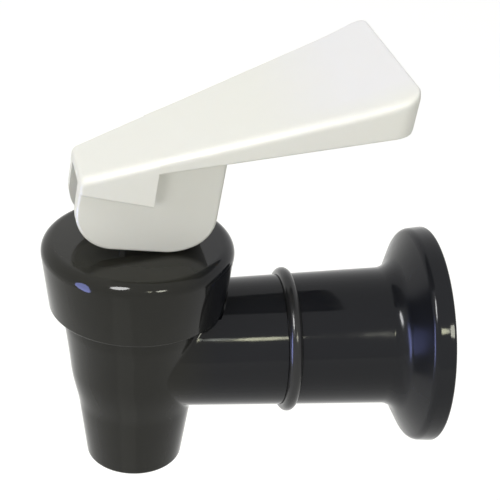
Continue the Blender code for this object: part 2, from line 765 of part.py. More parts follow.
def lever(material):
    def near(x):
        return -half_width(x)

    mesh = drawn_mesh("lever", paddle_outline(), near, half_width)
    paddle = add_object("lever", mesh, spigot, material, lever_pivot)
    round_end_corners(paddle, PADDLE_END, PADDLE_CORNER)
    bevel(paddle, PADDLE_EDGE)

    cheek_mesh = drawn_mesh(
        "cheek_block", cheek_outline(), lambda x: -CHEEK_HALF_WIDTH, lambda x: CHEEK_HALF_WIDTH
    )
    cheeks = add_cutter("cheek_block", cheek_mesh, lever_pivot)
    bevel(cheeks, CHEEK_EDGE)
    cut(paddle, cheeks, "UNION")

    slot = drawn_mesh("slot", slot_outline(), lambda x: -SLOT_WIDTH / 2, lambda x: SLOT_WIDTH / 2)
    cut(paddle, add_cutter("slot", slot, lever_pivot))
    for index in range(PADDLE_CHANNELS):
        cut(paddle, channel(index))

    near_end = -CHEEK_HALF_WIDTH + PIN_BLIND
    hole = cylinder_mesh(
        "pin_hole", PIN_RADIUS + PIN_PLAY, near_end, 2 * CHEEK_HALF_WIDTH, "Y", SMALL_SEGMENTS
    )
    cut(paddle, add_cutter("pin_hole", hole, lever_pivot))
    return paddle


def lever_pin(material):
    start = -CHEEK_HALF_WIDTH + PIN_BLIND + CLEARANCE
    end = CHEEK_HALF_WIDTH - CLEARANCE
    mesh = cylinder_mesh("lever_pin", PIN_RADIUS, start, end, "Y")
    return add_object("lever_pin", mesh, spigot, material, lever_pivot)


empty_scene()
spigot = new_collection("dispenser_spigot")
cutters = new_collection("cutters")

# Local Z of the shank's axis points along +X, out of the flange
shank_axis = add_object("shank_axis", None, spigot)
shank_axis.rotation_euler = (0, math.pi / 2, 0)
valve_axis = add_object("valve_axis", None, spigot)
valve_axis.location = (-SHANK_REACH, 0, 0)
lever_pivot = add_object("lever_pivot", None, spigot)
lever_pivot.location = (-SHANK_REACH, 0, PIVOT_HEIGHT)
lever_pivot.rotation_euler = (0, LEVER_LEAN, LEVER_YAW)

black = plastic("black_plastic", (0.012, 0.012, 0.013), 0.18)
white = plastic("white_plastic", (0.80, 0.79, 0.75), 0.32)
grey = plastic("stem_plastic", (0.62, 0.62, 0.60), 0.40)
silicone = plastic("silicone", (0.55, 0.56, 0.55), 0.55)
rubber = plastic("rubber", (0.015, 0.015, 0.016), 0.50)
steel = plastic("spring_steel", (0.55, 0.55, 0.56), 0.30, 1.0)

made = [
    housing_body(black),
    shank_ring(rubber),
    inlet_washer(rubber),
    bonnet(black),
    seat_cup(silicone),
    slip_washer(grey),
    stem(grey),
    lever(white),
    lever_pin(steel),
]
for piece in made:
    smooth(piece)
return_spring(steel)
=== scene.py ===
"""Dispenser spigot with a tip lever: black housing and bonnet, white rocking lever.

Lengths are in millimetres until a mesh is made. The origin is the centre of the flange's
back face, +X points out of the flange and +Z is up along the stem.
"""

import math

import bmesh
import bpy
import numpy as np
from mathutils import Euler, Matrix, Vector
from mathutils.geometry import delaunay_2d_cdt


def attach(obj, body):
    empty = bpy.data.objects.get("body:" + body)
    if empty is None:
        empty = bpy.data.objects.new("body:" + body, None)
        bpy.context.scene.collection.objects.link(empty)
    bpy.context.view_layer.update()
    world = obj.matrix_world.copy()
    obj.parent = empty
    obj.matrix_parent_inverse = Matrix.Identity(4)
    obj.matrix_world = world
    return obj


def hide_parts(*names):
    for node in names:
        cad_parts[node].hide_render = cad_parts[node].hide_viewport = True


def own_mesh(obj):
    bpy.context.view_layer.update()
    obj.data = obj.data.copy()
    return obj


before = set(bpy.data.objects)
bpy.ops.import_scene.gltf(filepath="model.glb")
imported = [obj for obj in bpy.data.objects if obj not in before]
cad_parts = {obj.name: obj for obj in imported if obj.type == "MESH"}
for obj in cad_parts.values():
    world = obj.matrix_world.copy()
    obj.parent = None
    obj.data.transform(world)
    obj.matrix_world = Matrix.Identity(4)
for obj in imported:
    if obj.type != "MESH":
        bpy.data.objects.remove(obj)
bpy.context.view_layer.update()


# Housing. One injection moulding in glossy black plastic: the upright barrel with its
# spout, and the shank that flares into the wall flange. The mould leaves a small fillet
# where shank and barrel meet, and the flange is cored out from behind.

MM = 0.001
shank_reach = 53.1
shank_taper = 0.035
shank_foot_radius = 12.4
flare_foot = 7.628
flange_radius = 19.55
spout_drop = 22.4
spout_tip_radius, spout_taper = 8.5, 0.134
barrel_taper, barrel_swell = 0.08, 0.5
neck_top = 15.6
neck_radius = 12.5
bonnet_foot, bonnet_foot_radius = 9.2, 15.226
bonnet_top, bonnet_top_radius = 21.5, 16.8
bonnet_gap = 0.3
groove_place, groove_radius = 26.5, 1.26
junction_fillet = 1.0


def rounded_outline(corners, steps=10):
    """Points through (radius, height) corners. A third number is the corner's fillet."""
    points = []
    for index, corner in enumerate(corners):
        here = np.array(corner[:2], float)
        if len(corner) < 3:
            points.append(here)
            continue
        before = np.array(corners[index - 1][:2], float) - here
        after = np.array(corners[(index + 1) % len(corners)][:2], float) - here
        before_length, after_length = np.hypot(*before), np.hypot(*after)
        before, after = before / before_length, after / after_length
        half = math.acos(float(np.clip(before @ after, -1, 1))) / 2
        reach = min(corner[2] / math.tan(half), 0.95 * before_length, 0.95 * after_length)
        radius = reach * math.tan(half)
        centre = here + (before + after) / np.hypot(*(before + after)) * math.hypot(radius, reach)
        start = here + before * reach - centre
        end = here + after * reach - centre
        first = math.atan2(start[1], start[0])
        turn = (math.atan2(end[1], end[0]) - first + math.pi) % (2 * math.pi) - math.pi
        for share in np.linspace(0, 1, steps + 1):
            angle = first + turn * share
            points.append(centre + radius * np.array([math.cos(angle), math.sin(angle)]))
    return points


def mesh_piece(name, points, faces):
    """Object made of points in millimetres."""
    mesh = bpy.data.meshes.new(name)
    mesh.from_pydata([tuple(float(value) * MM for value in point) for point in points], [], faces)
    piece = bpy.data.objects.new(name, mesh)
    bpy.context.scene.collection.objects.link(piece)
    return piece


def weld(piece, reach=0.002):
    """Joins points that coincide and turns every face outwards."""
    shell = bmesh.new()
    shell.from_mesh(piece.data)
    bmesh.ops.remove_doubles(shell, verts=shell.verts, dist=reach * MM)
    bmesh.ops.dissolve_degenerate(shell, edges=shell.edges, dist=0.0005 * MM)
    bmesh.ops.recalc_face_normals(shell, faces=shell.faces)
    shell.to_mesh(piece.data)
    shell.free()


def ring_strip(rings, closed=False):
    """Quads between successive rings of points."""
    rings = np.array(rings, float)
    rows, turns = rings.shape[:2]
    faces = []
    for row in range(rows if closed else rows - 1):
        low, high = row * turns, (row + 1) % rows * turns
        for step in range(turns):
            after = (step + 1) % turns
            faces.append((low + step, low + after, high + after, high + step))
    return rings.reshape(-1, 3), faces


def turned_piece(name, outline, turns=160, closed=False, along_shank=False):
    """Turns an outline of (radius, height) about the valve's axis or the shank's."""
    angles = np.linspace(0, 2 * math.pi, turns, endpoint=False)
    rings = []
    for radius, height in outline:
        radius = max(radius, 0.0)
        if along_shank:
            rings.append([(height, radius * math.cos(a), radius * math.sin(a)) for a in angles])
        else:
            rings.append(
                [(radius * math.cos(a) - shank_reach, radius * math.sin(a), height) for a in angles]
            )
    piece = mesh_piece(name, *ring_strip(rings, closed))
    weld(piece)
    return piece


def carve(piece, tool, operation="DIFFERENCE", solver="MANIFOLD"):
    """Cuts the tool out of the piece, or joins it on, and takes the tool away."""
    step = piece.modifiers.new("carve", "BOOLEAN")
    step.operation = operation
    step.solver = solver
    step.object = tool
    bake(piece)
    bpy.data.objects.remove(tool, do_unlink=True)


def bake(piece):
    """Keeps the piece as its modifiers show it."""
    bpy.context.view_layer.update()
    shown = piece.evaluated_get(bpy.context.evaluated_depsgraph_get())
    mesh = bpy.data.meshes.new_from_object(shown)
    piece.modifiers.clear()
    piece.data = mesh
    mesh.name = piece.name


def polish(piece, angle=32):
    """Smooth faces with sharp edges where the piece has them."""
    piece.data.shade_smooth()
    piece.data.set_sharp_from_angle(angle=math.radians(angle))


def barrel_radius(height):
    """Barrel and spout tapers, blended over the shoulder, with a swell towards the bonnet."""
    spout = spout_tip_radius + spout_taper * (height + spout_drop)
    barrel = neck_radius - barrel_taper * np.maximum(bonnet_foot - height, 0.0)
    share = np.clip((height + 11.0) / 8.0, 0.0, 1.0)
    share = share * share * (3 - 2 * share)
    collar = np.clip((height + 6.0) / 12.0, 0.0, 1.0)
    return spout + (barrel - spout) * share + barrel_swell * collar * collar


def barrel_slope(height):
    """How fast the radius grows with height."""
    return (barrel_radius(height + 0.01) - barrel_radius(height - 0.01)) / 0.02


def barrel_foot(distance, height):
    """Height of the point on the barrel's wall that is nearest."""
    foot = np.array(height, float)
    for _ in range(40):
        foot = height + barrel_slope(foot) * (distance - barrel_radius(foot))
    return foot


def shank_radius(place):
    """Radius of the straight, tapered shank at a distance from the flange's back."""
    return shank_foot_radius - shank_taper * (place - flare_foot)


def about_shank(radius, place, angles):
    """One ring of points about the shank's axis."""
    return np.stack(
        [np.full(angles.shape, -place), radius * np.cos(angles), radius * np.sin(angles)], axis=1
    )


def junction_rings(turns=192, steps=8):
    """Rings of a rolled fillet, from the barrel's wall to the shank's."""
    angles = np.linspace(0, 2 * math.pi, turns, endpoint=False)
    lean = math.hypot(1, shank_taper)

    def ball(place):
        radial = shank_radius(place) + junction_fillet * lean
        side, height = radial * np.cos(angles), radial * np.sin(angles)
        distance = np.hypot(shank_reach - place, side)
        foot = barrel_foot(distance, height)
        gap = (distance - barrel_radius(foot)) * np.hypot(1, barrel_slope(foot))
        return side, height, distance, foot, gap

    low, high = np.full(turns, 30.0), np.full(turns, shank_reach)
    for _ in range(60):
        middle = (low + high) / 2
        outside = ball(middle)[4] > junction_fillet
        low = np.where(outside, middle, low)
        high = np.where(outside, high, middle)
    place = (low + high) / 2
    side, height, distance, foot, _ = ball(place)
    centre = np.stack([-place, side, height], axis=1)
    about = np.arctan2(side, shank_reach - place)
    wall = barrel_radius(foot)
    on_barrel = np.stack([wall * np.cos(about) - shank_reach, wall * np.sin(about), foot], axis=1)
    to_barrel = (on_barrel - centre) / junction_fillet
    to_shank = np.stack(
        [np.full(turns, shank_taper), -np.cos(angles), -np.sin(angles)], axis=1
    ) / lean
    span = np.arccos(np.clip((to_barrel * to_shank).sum(axis=1), -1, 1))[:, None]
    rings = []
    for share in np.linspace(0, 1, steps + 1):
        mix = np.sin((1 - share) * span) * to_barrel + np.sin(share * span) * to_shank
        rings.append(centre + junction_fillet * mix / np.sin(span))
    return angles, about, foot, rings


def barrel_wall(about, foot):
    """The barrel's wall, laid out flat, holed for the shank, and bent round again."""
    columns, flat = 160, 12.0
    rows = np.linspace(-spout_drop + 0.7, neck_top - 0.5, 64)
    across = np.linspace(-math.pi, math.pi, columns + 1) * flat
    loop = np.stack([about * flat, foot], axis=1)
    ahead = np.roll(loop, -1, axis=0)

    def inside(points):
        crossing = (loop[:, 1] > points[:, 1:]) != (ahead[:, 1] > points[:, 1:])
        rise = np.where(ahead[:, 1] == loop[:, 1], 1e-9, ahead[:, 1] - loop[:, 1])
        meet = loop[:, 0] + (points[:, 1:] - loop[:, 1]) * (ahead[:, 0] - loop[:, 0]) / rise
        return (crossing & (points[:, :1] < meet)).sum(axis=1) % 2 == 1

    grid = np.array([(u, v) for v in rows for u in across])
    near = np.array([np.hypot(*(loop - point).T).min() < 0.28 for point in grid])
    grid = grid[~(inside(grid) | near)]
    points = [Vector(point) for point in (*loop, *grid)]
    count = len(loop)
    rim = [(i, (i + 1) % count) for i in range(count)]
    laid, _, faces, *_ = delaunay_2d_cdt(points, rim, [], 0, 1e-6)
    laid = np.array([tuple(point) for point in laid])
    centres = np.array([laid[list(face)].mean(axis=0) for face in faces])
    kept = [tuple(face) for face, hole in zip(faces, inside(centres)) if not hole]
    turn, height = laid[:, 0] / flat, laid[:, 1]
    radius = barrel_radius(height)
    return (
        np.stack([radius * np.cos(turn) - shank_reach, radius * np.sin(turn), height], axis=1),
        kept,
        columns,
    )


def valve_rings(outline, turns):
    """Rings about the valve's axis, starting where the laid-out wall has its seam."""
    angles = np.linspace(-math.pi, math.pi, turns, endpoint=False)
    return [
        [(radius * math.cos(a) - shank_reach, radius * math.sin(a), height) for a in angles]
        for radius, height in outline
    ]


def joined(name, parts):
    """One welded piece from several lists of points and faces."""
    points, faces = [], []
    for part_points, part_faces in parts:
        start = len(points)
        points.extend(part_points)
        faces.extend(tuple(start + i for i in face) for face in part_faces)
    piece = mesh_piece(name, points, faces)
    weld(piece)
    return piece


angles, about, foot, fillet_rings = junction_rings()
wall_points, wall_faces, wall_columns = barrel_wall(about, foot)

groove = [
    (groove_place - groove_radius * math.cos(a), -groove_radius * math.sin(a))
    for a in np.linspace(0, math.pi, 17)
]
flange_outline = rounded_outline(
    [
        (0.0, 0.0),
        (flange_radius, 0.0, 0.5),
        (flange_radius - 0.05, -1.2, 0.5),
        (flange_radius - 0.3, -3.6, 1.6),
        (shank_foot_radius, -flare_foot + 0.6, 3.6),
        (shank_radius(14.0), -14.0),
    ],
    steps=14,
)
shank_outline = [(radius, -height) for radius, height in flange_outline]
shank_outline += [(shank_radius(place), place) for place in np.arange(15.0, 25.0, 1.0)]
shank_outline += [(shank_radius(place) + dip, place) for place, dip in groove]
shank_outline += [(shank_radius(place), place) for place in np.arange(29.0, 38.0, 1.0)]
shank_rings = [about_shank(radius, place, angles) for radius, place in reversed(shank_outline)]
contact = fillet_rings[-1]
for share in np.linspace(0, 1, 9)[1:-1]:
    fillet_rings.append(contact + (shank_rings[0] - contact) * share)
tip = rounded_outline(
    [(8.59, -21.7), (spout_tip_radius, -spout_drop, 0.65), (0.0, -spout_drop)]
)
tip[0] = np.array([barrel_radius(-spout_drop + 0.7), -spout_drop + 0.7])
neck = [
    (barrel_radius(neck_top - 0.5), neck_top - 0.5),
    (neck_radius - 0.5, neck_top),
    (0.0, neck_top),
]

housing = joined(
    "housing_moulding",
    [
        (wall_points, wall_faces),
        ring_strip(fillet_rings + shank_rings),
        ring_strip(valve_rings(tip, wall_columns)),
        ring_strip(valve_rings(neck, wall_columns)),
    ],
)

# The bonnet's foot sits lower than the shank's top, so the moulding is relieved there
relief = [
    (neck_radius, bonnet_top),
    (bonnet_top_radius + bonnet_gap, bonnet_top),
    (bonnet_foot_radius + 0.261, bonnet_foot - bonnet_gap),
    (neck_radius, bonnet_foot - bonnet_gap),
]
carve(housing, turned_piece("relief", relief, closed=True))

waterway = rounded_outline(
    [
        (0.0, 16.6),
        (9.7, 16.6),
        (9.7, 15.6),
        (8.6, -6.4, 0.5),
        (5.8, -6.4, 0.3),
        (5.8, -3.4, 0.3),
        (4.3, -3.4, 0.3),
        (4.3, -9.0, 0.5),
        (5.63, -10.33, 0.5),
        (6.7, -22.0, 0.4),
        (7.1, -22.5),
        (7.1, -23.4),
        (0.0, -23.4),
    ],
    steps=5,
)
carve(housing, turned_piece("waterway", waterway, turns=128))

core = rounded_outline(
    [
        (0.0, 1.0),
        (15.35, 1.0),
        (15.35, 0.1),
        (14.75, -0.5, 0.6),
        (13.65, -3.0, 1.0),
        (9.7, -5.5, 2.0),
        (9.4, -22.0, 0.6),
        (7.6, -22.0, 0.3),
        (7.6, -1.5, 0.25),
        (0.0, -1.5),
    ],
    steps=5,
)


def block(name, low, high, spin):
    """Block between two corners, turned and placed by a matrix, to cut with."""
    corners = [
        (x, y, z) for x in (low[0], high[0]) for y in (low[1], high[1]) for z in (low[2], high[2])
    ]
    quads = [(0, 1, 3, 2), (4, 6, 7, 5), (0, 4, 5, 1), (2, 3, 7, 6), (0, 2, 6, 4), (1, 5, 7, 3)]
    piece = mesh_piece(name, corners, quads)
    weld(piece)
    piece.data.transform(spin)
    return piece


# The core leaves six ribs standing round the socket, each pair in one line
hollow = turned_piece("core", core, turns=144, along_shank=True)
rib_wall = 1.4
for rib in range(3):
    turn = Matrix.Rotation(math.radians(90 + 60 * rib), 4, "X")
    low, high = (-23.0, -19.3, -rib_wall / 2), (-3.5, 19.3, rib_wall / 2)
    carve(hollow, block(f"rib_{rib + 1}", low, high, turn))
carve(housing, hollow)


def threaded_bore(bore=5.5, floor=18.5, pitch=1.27, cut=0.55, turns=72):
    """Bore of the inlet socket with its thread and the passage behind, to cut away."""
    first, last, run, passage = 2.2, 17.6, 1.2, 3.2
    angles = np.linspace(0, 2 * math.pi, turns, endpoint=False)
    rings = [about_shank(0.0, -0.5, angles)]
    for place in np.concatenate([[-0.5, 1.4], np.arange(1.5, floor, pitch / 8), [floor]]):
        inside = min(max((place - first) / run, 0.0), 1.0)
        inside *= min(max((last - place) / run, 0.0), 1.0)
        phase = 2 * math.pi * place / pitch - angles
        radius = bore + cut * inside * (0.5 + 0.5 * np.cos(phase)) ** 1.3
        radius = radius + max(0.0, min(0.7, first - place))
        rings.append(about_shank(radius, place, angles))
    for radius, place in ((passage, floor), (passage, shank_reach), (0.0, shank_reach)):
        rings.append(about_shank(radius, place, angles))
    tool = mesh_piece("threaded_bore", *ring_strip(rings))
    weld(tool)
    return tool


carve(housing, threaded_bore())
polish(housing)


def shader_of(name):
    """New material, with its node tree and its main shader."""
    material = bpy.data.materials.new(name)
    material.use_nodes = True
    return material, material.node_tree, material.node_tree.nodes["Principled BSDF"]


def noise(tree, scale, detail=2.0, stretch=(1, 1, 1)):
    """Noise in object space. The scale counts lumps per metre."""
    place = tree.nodes.new("ShaderNodeTexCoord")
    reach = tree.nodes.new("ShaderNodeMapping")
    reach.inputs["Scale"].default_value = stretch
    lumps = tree.nodes.new("ShaderNodeTexNoise")
    lumps.inputs["Scale"].default_value = scale
    lumps.inputs["Detail"].default_value = detail
    tree.links.new(place.outputs["Object"], reach.inputs["Vector"])
    tree.links.new(reach.outputs["Vector"], lumps.inputs["Vector"])
    return lumps.outputs["Fac"]


def ranged(tree, value, low, high, start=0.3, end=0.7):
    """Maps a noise value to a range."""
    step = tree.nodes.new("ShaderNodeMapRange")
    step.inputs["From Min"].default_value = start
    step.inputs["From Max"].default_value = end
    step.inputs["To Min"].default_value = low
    step.inputs["To Max"].default_value = high
    tree.links.new(value, step.inputs["Value"])
    return step.outputs["Result"]


def tinted(tree, value, low, high):
    """Blends two colours by a value."""
    blend = tree.nodes.new("ShaderNodeMix")
    blend.data_type = "RGBA"
    blend.inputs["A"].default_value = (*low, 1)
    blend.inputs["B"].default_value = (*high, 1)
    tree.links.new(value, blend.inputs["Factor"])
    return blend.outputs["Result"]


def uneven(tree, shader, layers):
    """Bump from several heights, each (value, strength, depth in millimetres)."""
    below = None
    for value, strength, depth in layers:
        bump = tree.nodes.new("ShaderNodeBump")
        bump.inputs["Strength"].default_value = strength
        bump.inputs["Distance"].default_value = depth * MM
        tree.links.new(value, bump.inputs["Height"])
        if below:
            tree.links.new(below, bump.inputs["Normal"])
        below = bump.outputs["Normal"]
    tree.links.new(below, shader.inputs["Normal"])


def along(tree, axis, start, end):
    """Runs from 0 to 1 between two places on an axis of the object, in millimetres."""
    place = tree.nodes.new("ShaderNodeTexCoord")
    parts = tree.nodes.new("ShaderNodeSeparateXYZ")
    tree.links.new(place.outputs["Object"], parts.inputs[0])
    return ranged(tree, parts.outputs[axis], 0.0, 1.0, start * MM, end * MM)


def blended(tree, value, low, high):
    """Blends two colours that come from nodes."""
    blend = tree.nodes.new("ShaderNodeMix")
    blend.data_type = "RGBA"
    tree.links.new(value, blend.inputs["Factor"])
    tree.links.new(low, blend.inputs["A"])
    tree.links.new(high, blend.inputs["B"])
    return blend.outputs["Result"]


def worked_out(tree, operation, *values):
    """Result of a sum on sockets and numbers."""
    step = tree.nodes.new("ShaderNodeMath")
    step.operation = operation
    for index, value in enumerate(values):
        if isinstance(value, float):
            step.inputs[index].default_value = value
        else:
            tree.links.new(value, step.inputs[index])
    return step.outputs["Value"]


def glossy_black(name):
    """Polished black moulding, duller on the flange's flare, with a painted reflection: a lighter,
    warmer base over the barrel and bonnet.
    """
    material, tree, shader = shader_of(name)
    clean = tinted(tree, noise(tree, 60, 3), (0.0100, 0.0110, 0.0140), (0.0125, 0.0130, 0.0155))
    # Lighter, warmer base where X is below -47 mm, over barrel and bonnet: a painted reflection of
    # the olive-grey surround that these faces mirror.
    barrel_painted_reflection = tinted(tree, noise(tree, 180, 4), (0.0160, 0.0160, 0.0130), (0.0210, 0.0205, 0.0165))
    black = blended(tree, along(tree, "X", -40, -47), clean, barrel_painted_reflection)
    tree.links.new(black, shader.inputs["Base Color"])
    haze = ranged(tree, noise(tree, 140, 4), 0.05, 0.12, 0.35, 0.75)
    flare = worked_out(
        tree, "MULTIPLY", along(tree, "X", -9.0, -6.5), along(tree, "X", -2.6, -4.2)
    )
    rough = worked_out(tree, "MULTIPLY_ADD", flare, 0.14, haze)
    tree.links.new(rough, shader.inputs["Roughness"])
    shader.inputs["IOR"].default_value = 1.49
    shader.inputs["Specular IOR Level"].default_value = 0.2
    ripple = noise(tree, 260, 1)
    scuffs = noise(tree, 900, 5, stretch=(1, 1, 0.15))
    uneven(tree, shader, [(ripple, 0.05, 0.2), (scuffs, 0.02, 0.05)])
    return material


black_moulding = glossy_black("black_moulding")
housing.data.materials.clear()
housing.data.materials.append(black_moulding)
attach(housing, "housing")
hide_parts("body")


# Shank ring. A round rubber ring that snaps into a groove round the shank and grips the
# panel's hole.

ring_wire = 1.2
ring_outline = [
    (
        shank_radius(groove_place) + ring_wire * math.cos(a),
        -groove_place + ring_wire * math.sin(a),
    )
    for a in np.linspace(2 * math.pi, 0, 28, endpoint=False)
]
shank_ring = turned_piece("rubber_ring", ring_outline, turns=144, closed=True, along_shank=True)
polish(shank_ring, 60)

# Moulded rubber: close to black, a little dusty, with a soft sheen
black_rubber, rubber_tree, rubber_shader = shader_of("black_rubber")
dust = noise(rubber_tree, 320, 4)
dusty = tinted(rubber_tree, dust, (0.020, 0.020, 0.021), (0.026, 0.026, 0.027))
rubber_tree.links.new(dusty, rubber_shader.inputs["Base Color"])
sheen = ranged(rubber_tree, noise(rubber_tree, 500, 3), 0.12, 0.24)
rubber_tree.links.new(sheen, rubber_shader.inputs["Roughness"])
rubber_shader.inputs["Specular IOR Level"].default_value = 0.3
uneven(rubber_tree, rubber_shader, [(noise(rubber_tree, 2600, 3), 0.12, 0.03)])
shank_ring.data.materials.append(black_rubber)
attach(shank_ring, "housing")
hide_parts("shank_ring")


# Inlet washer. A flat rubber washer that lies on the socket's floor and seals the stub.

washer_outline = rounded_outline(
    [(3.3, -16.6, 0.2), (5.2, -16.6, 0.2), (5.2, -18.2, 0.2), (3.3, -18.2, 0.2)], steps=4
)
inlet_washer = turned_piece("inlet_seal", washer_outline, turns=96, closed=True, along_shank=True)
polish(inlet_washer)
inlet_washer.data.materials.append(black_rubber)
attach(inlet_washer, "housing")
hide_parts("inlet_washer")


# Seat cup. Translucent silicone, moulded: its flange is clamped under the bonnet and its
# thick sole closes the valve's seat. It stretches over the stem's head.

cup_outline = rounded_outline(
    [
        (0.0, -0.7),
        (3.9, -0.7, 0.3),
        (3.9, 1.85, 0.3),
        (2.4, 1.85, 0.2),
        (2.4, 3.2, 0.2),
        (5.0, 3.2, 0.4),
        (7.9, 17.4, 0.3),
        (11.7, 17.4, 0.3),
        (11.7, 15.9, 0.3),
        (9.1, 15.9, 0.3),
        (6.2, 3.2, 0.6),
        (6.2, -2.4, 0.3),
        (5.5, -3.1, 0.3),
        (0.0, -3.1),
    ],
    steps=4,
)
seat_cup = turned_piece("silicone_cup", cup_outline, turns=96)
polish(seat_cup)
silicone, silicone_tree, silicone_shader = shader_of("clear_silicone")
clouds = noise(silicone_tree, 150, 3)
cloudy = tinted(silicone_tree, clouds, (0.50, 0.51, 0.50), (0.60, 0.61, 0.60))
silicone_tree.links.new(cloudy, silicone_shader.inputs["Base Color"])
silicone_haze = ranged(silicone_tree, noise(silicone_tree, 300, 2), 0.40, 0.55)
silicone_tree.links.new(silicone_haze, silicone_shader.inputs["Roughness"])
silicone_shader.inputs["Subsurface Weight"].default_value = 0.3
silicone_shader.inputs["Subsurface Scale"].default_value = 0.001
uneven(silicone_tree, silicone_shader, [(noise(silicone_tree, 1500, 2), 0.1, 0.03)])
seat_cup.data.materials.append(silicone)
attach(seat_cup, "housing")
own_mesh(seat_cup)
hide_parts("seat_cup")


# Stem. Turned from natural acetal, headed to hold the cup, with a flat blade at the top
# that the lever's pin goes through. It turns with the lever.

lever_yaw = math.radians(3.1)
lever_lean = math.radians(7.3)
pivot_height = 31.323

stem_outline = rounded_outline(
    [
        (0.0, 34.4),
        (3.1, 34.4, 2.8),
        (3.1, 16.6, 0.3),
        (2.8, 16.3, 0.3),
        (2.8, 3.5, 0.1),
        (2.1, 3.5, 0.1),
        (2.1, 1.3, 0.1),
        (3.6, 1.3, 0.3),
        (3.6, -0.4, 0.4),
        (0.0, -0.4),
    ],
    steps=8,
)
stem = turned_piece("plunger_stem", stem_outline, turns=96)

blade_half, blade_foot = 1.8, 19.47
to_blade = Matrix.Translation((-shank_reach * MM, 0, 0)) @ Matrix.Rotation(lever_yaw, 4, "Z")
for side in (-1, 1):
    low_y, high_y = sorted((side * blade_half, side * 6.0))
    carve(stem, block("flat", (-6, low_y, blade_foot), (6, high_y, 36), to_blade))


def to_lever(piece):
    """Sets a piece that was made about the pin into its place on the stem."""
    lean = Euler((0, lever_lean, lever_yaw)).to_matrix().to_4x4()
    piece.data.transform(Matrix.Translation((-shank_reach * MM, 0, pivot_height * MM)) @ lean)
    return piece


def cross_rod(name, radius, start, end, turns=64, edge=0.0):
    """Rod across the lever, on the pin's axis."""
    outline = rounded_outline(
        [(0.0, end), (radius, end, edge), (radius, start, edge), (0.0, start)], steps=4
    )
    angles = np.linspace(0, 2 * math.pi, turns, endpoint=False)
    rings = [[(r * math.sin(a), y, r * math.cos(a)) for a in angles] for r, y in outline]
    rod = mesh_piece(name, *ring_strip(rings))
    weld(rod)
    return to_lever(rod)


carve(stem, cross_rod("stem_eye", 1.35, -4.0, 4.0, edge=0.01))
polish(stem)
acetal, acetal_tree, acetal_shader = shader_of("natural_acetal")
turning = noise(acetal_tree, 1800, 2, stretch=(0.1, 0.1, 1))
milky = noise(acetal_tree, 120, 3)
acetal_tint = tinted(acetal_tree, milky, (0.60, 0.60, 0.575), (0.67, 0.67, 0.645))
acetal_tree.links.new(acetal_tint, acetal_shader.inputs["Base Color"])
acetal_tree.links.new(ranged(acetal_tree, turning, 0.34, 0.46), acetal_shader.inputs["Roughness"])
uneven(acetal_tree, acetal_shader, [(turning, 0.15, 0.02)])
stem.data.materials.clear()
stem.data.materials.append(acetal)
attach(stem, "stem")
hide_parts("stem")


# Slip washer. A thin acetal washer in the cup, so that the spring can turn on it.

slip_outline = rounded_outline(
    [(3.1, 4.3, 0.15), (4.7, 4.3, 0.15), (4.7, 3.5, 0.15), (3.1, 3.5, 0.15)], steps=3
)
slip_washer = turned_piece("slip_disc", slip_outline, turns=96, closed=True)
polish(slip_washer)
slip_washer.data.materials.append(acetal)
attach(slip_washer, "plunger")
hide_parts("slip_washer")


# Return spring. Stainless wire, cold wound with closed end turns, between washer and
# bonnet.

spring_turns, spring_radius, wire_radius = 6.5, 4.1, 0.45
spring_low, spring_high, closed_pitch = 5.05, 17.85, 1.15
wire_stations, wire_sides = 260, 16


def spring_line(turn):
    """Centre of the wire after some turns."""
    open_pitch = (spring_high - spring_low - 2 * closed_pitch) / (spring_turns - 2)
    height = spring_low + closed_pitch * min(turn, 1.0)
    height += open_pitch * max(0.0, min(turn - 1.0, spring_turns - 2))
    height += closed_pitch * max(0.0, turn - spring_turns + 1.0)
    angle = 2 * math.pi * turn
    return np.array(
        [spring_radius * math.cos(angle) - shank_reach, spring_radius * math.sin(angle), height]
    )


wire_rings = []
for turn in np.linspace(0, spring_turns, wire_stations):
    centre = spring_line(turn)
    outward = np.array([math.cos(2 * math.pi * turn), math.sin(2 * math.pi * turn), 0.0])
    wire_rings.append(
        [
            centre + wire_radius * (math.cos(a) * outward + math.sin(a) * np.array([0, 0, 1.0]))
            for a in np.linspace(0, 2 * math.pi, wire_sides, endpoint=False)
        ]
    )
wire_rings.insert(0, [np.mean(wire_rings[0], axis=0)] * wire_sides)
wire_rings.append([np.mean(wire_rings[-1], axis=0)] * wire_sides)
spring = mesh_piece("wire_spring", *ring_strip(wire_rings))
weld(spring)
polish(spring, 50)
steel, steel_tree, steel_shader = shader_of("stainless_steel")
drawn_lines = noise(steel_tree, 2500, 2, stretch=(1, 1, 0.2))
steel_tint = tinted(steel_tree, drawn_lines, (0.50, 0.50, 0.51), (0.62, 0.62, 0.63))
steel_tree.links.new(steel_tint, steel_shader.inputs["Base Color"])
steel_shader.inputs["Metallic"].default_value = 1.0
steel_haze = ranged(steel_tree, drawn_lines, 0.28, 0.38)
steel_tree.links.new(steel_haze, steel_shader.inputs["Roughness"])
uneven(steel_tree, steel_shader, [(drawn_lines, 0.1, 0.02)])
spring.data.materials.append(steel)
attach(spring, "housing")
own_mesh(spring)
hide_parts("return_spring")


# Bonnet. A screwed cap of the same black plastic, with a rounded rim. Its flat roof carries
# the lever's cam, and inside it clamps the cup's flange and holds the spring.

bonnet_outline = rounded_outline(
    [
        (3.25, bonnet_top, 0.25),
        (bonnet_top_radius, bonnet_top, 2.1),
        (bonnet_foot_radius, bonnet_foot, 0.4),
        (12.8, bonnet_foot, 0.3),
        (12.8, 17.7, 0.2),
        (9.1, 17.7, 0.2),
        (9.1, 18.6, 0.2),
        (3.25, 18.6, 0.2),
    ],
    steps=12,
)
bonnet = turned_piece("screw_bonnet", bonnet_outline, turns=192, closed=True)
polish(bonnet)
bonnet_black = glossy_black("bonnet_black")
bonnet.data.materials.append(bonnet_black)
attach(bonnet, "housing")
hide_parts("bonnet")


# Lever. One moulding in warm white plastic: a wide paddle with rounded edges and a slight
# lip, a skirt, and two cheeks that rock on the bonnet's roof. Its underside is ribbed.

